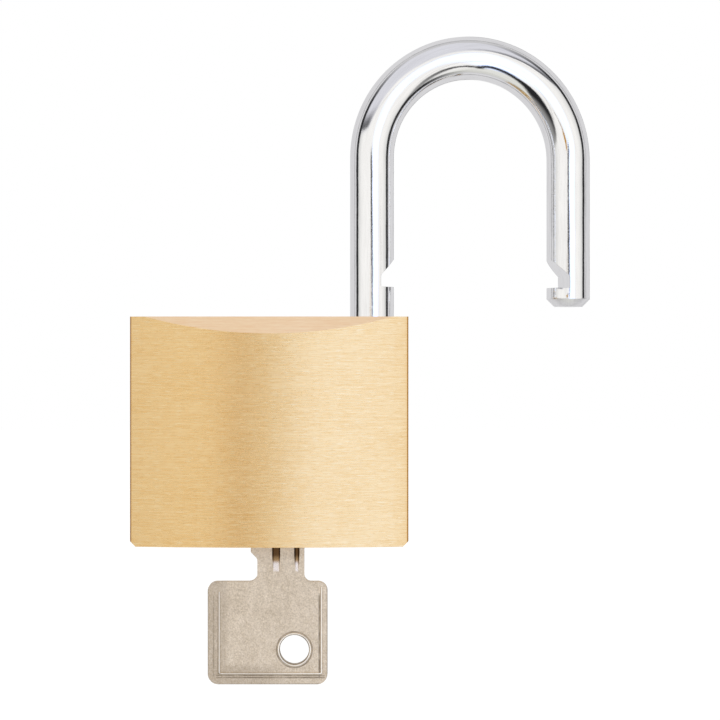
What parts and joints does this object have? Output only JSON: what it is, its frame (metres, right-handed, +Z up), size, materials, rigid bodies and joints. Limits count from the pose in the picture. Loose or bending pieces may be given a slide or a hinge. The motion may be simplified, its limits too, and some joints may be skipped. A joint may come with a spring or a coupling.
{
  "type": "cylinder padlock",
  "caption": "Brass block padlock with a bowed front, popped open: U-shaped chromed shackle swung out over the heel, flat key in the plug below.",
  "frame": {"origin": "centre of the plug's face, on the body's underside, where the key goes in", "axes": "+Z up from the body towards the shackle, +X from the toe's bore to the heel's bore, -Y out of the front"},
  "size_m": [0.0837, 0.0207, 0.118],
  "materials": {
    "body_brass": "fine horizontal brushing",
    "shackle_chrome": "polished",
    "key_nickel_silver": "stamped, matt",
    "inner_brass": "turned",
    "inner_steel": "turned",
    "spring_steel": "drawn wire"
  },
  "bodies": {
    "lock": {"lock_body": "body_brass", "chamber_plugs": "body_brass", "bolt_channel_plug": "body_brass", "shackle_retaining_pin": "inner_steel", "plug_snap_ring": "inner_steel", "shackle_spring": "spring_steel", "bolt_spring_front": "spring_steel", "bolt_spring_rear": "spring_steel", "driver_spring_1": "spring_steel", "driver_spring_2": "spring_steel", "driver_spring_3": "spring_steel", "driver_spring_4": "spring_steel", "driver_spring_5": "spring_steel"},
    "plug": {"plug": "inner_brass", "cam": "inner_brass"},
    "key": {"key": "key_nickel_silver"},
    "toe_bolt": {"bolt_toe": "inner_steel"},
    "heel_bolt": {"bolt_heel": "inner_steel"},
    "spring_cup": {"spring_cup": "inner_steel"},
    "shackle": {"shackle": "shackle_chrome"},
    "key_pin_1": {"key_pin_1": "inner_brass"},
    "key_pin_2": {"key_pin_2": "inner_brass"},
    "key_pin_3": {"key_pin_3": "inner_brass"},
    "key_pin_4": {"key_pin_4": "inner_brass"},
    "key_pin_5": {"key_pin_5": "inner_brass"},
    "driver_pin_1": {"driver_pin_1": "inner_brass"},
    "driver_pin_2": {"driver_pin_2": "inner_brass"},
    "driver_pin_3": {"driver_pin_3": "inner_brass"},
    "driver_pin_4": {"driver_pin_4": "inner_brass"},
    "driver_pin_5": {"driver_pin_5": "inner_brass"}
  },
  "joints": [
    {"name": "shackle_lift", "type": "slide", "parent": "lock", "child": "spring_cup", "axis": [0, 0, 1], "range_m": [-0.015, 0], "stiffness_N_per_m": 250, "springref_m": 0.008, "deforming": ["shackle_spring"]},
    {"name": "shackle_turn", "type": "hinge", "parent": "spring_cup", "child": "shackle", "pos_m": [0.0185, 0, 0.0413], "axis": [0, 0, 1], "range_deg": [-192, 168]},
    {"name": "key_turn", "type": "hinge", "parent": "lock", "child": "plug", "pos_m": [0, 0, 0], "axis": [0, 0, 1], "range_deg": [0, 90], "stiffness_Nm_per_rad": 0.0012, "deforming": ["bolt_spring_front", "bolt_spring_rear"]},
    {"name": "toe_bolt_slide", "type": "slide", "parent": "lock", "child": "toe_bolt", "axis": [1, 0, 0], "range_m": [0, 0.00315]},
    {"name": "heel_bolt_slide", "type": "slide", "parent": "lock", "child": "heel_bolt", "axis": [-1, 0, 0], "range_m": [-0.0013, 0.0003], "stiffness_N_per_m": 150},
    {"name": "key_draw", "type": "slide", "parent": "plug", "child": "key", "axis": [0, 0, 1], "range_m": [-0.03, 0], "deforming": ["driver_spring_1", "driver_spring_2", "driver_spring_3", "driver_spring_4", "driver_spring_5"]},
    {"name": "key_pin_1_drop", "type": "slide", "parent": "plug", "child": "key_pin_1", "axis": [1, 0, 0], "range_m": [0, 0.0021]},
    {"name": "driver_pin_1_drop", "type": "slide", "parent": "lock", "child": "driver_pin_1", "axis": [1, 0, 0], "range_m": [0, 0.0021]},
    {"name": "key_pin_2_drop", "type": "slide", "parent": "plug", "child": "key_pin_2", "axis": [1, 0, 0], "range_m": [0, 0.0021]},
    {"name": "driver_pin_2_drop", "type": "slide", "parent": "lock", "child": "driver_pin_2", "axis": [1, 0, 0], "range_m": [0, 0.0021]},
    {"name": "key_pin_3_drop", "type": "slide", "parent": "plug", "child": "key_pin_3", "axis": [1, 0, 0], "range_m": [0, 0.0021]},
    {"name": "driver_pin_3_drop", "type": "slide", "parent": "lock", "child": "driver_pin_3", "axis": [1, 0, 0], "range_m": [0, 0.0021]},
    {"name": "key_pin_4_drop", "type": "slide", "parent": "plug", "child": "key_pin_4", "axis": [1, 0, 0], "range_m": [0, 0.0021]},
    {"name": "driver_pin_4_drop", "type": "slide", "parent": "lock", "child": "driver_pin_4", "axis": [1, 0, 0], "range_m": [0, 0.0021]},
    {"name": "key_pin_5_drop", "type": "slide", "parent": "plug", "child": "key_pin_5", "axis": [1, 0, 0], "range_m": [0, 0.0021]},
    {"name": "driver_pin_5_drop", "type": "slide", "parent": "lock", "child": "driver_pin_5", "axis": [1, 0, 0], "range_m": [0, 0.0021]}
  ],
  "couplings": [
    {"joint": "toe_bolt_slide", "follows": "key_turn", "m_per_rad": 0.0020054},
    {"joint": "key_pin_1_drop", "follows": "key_draw", "ratio": -0.07},
    {"joint": "driver_pin_1_drop", "follows": "key_draw", "ratio": -0.07},
    {"joint": "key_pin_2_drop", "follows": "key_draw", "ratio": -0.07},
    {"joint": "driver_pin_2_drop", "follows": "key_draw", "ratio": -0.07},
    {"joint": "key_pin_3_drop", "follows": "key_draw", "ratio": -0.07},
    {"joint": "driver_pin_3_drop", "follows": "key_draw", "ratio": -0.07},
    {"joint": "key_pin_4_drop", "follows": "key_draw", "ratio": -0.07},
    {"joint": "driver_pin_4_drop", "follows": "key_draw", "ratio": -0.07},
    {"joint": "key_pin_5_drop", "follows": "key_draw", "ratio": -0.07},
    {"joint": "driver_pin_5_drop", "follows": "key_draw", "ratio": -0.07}
  ]
}
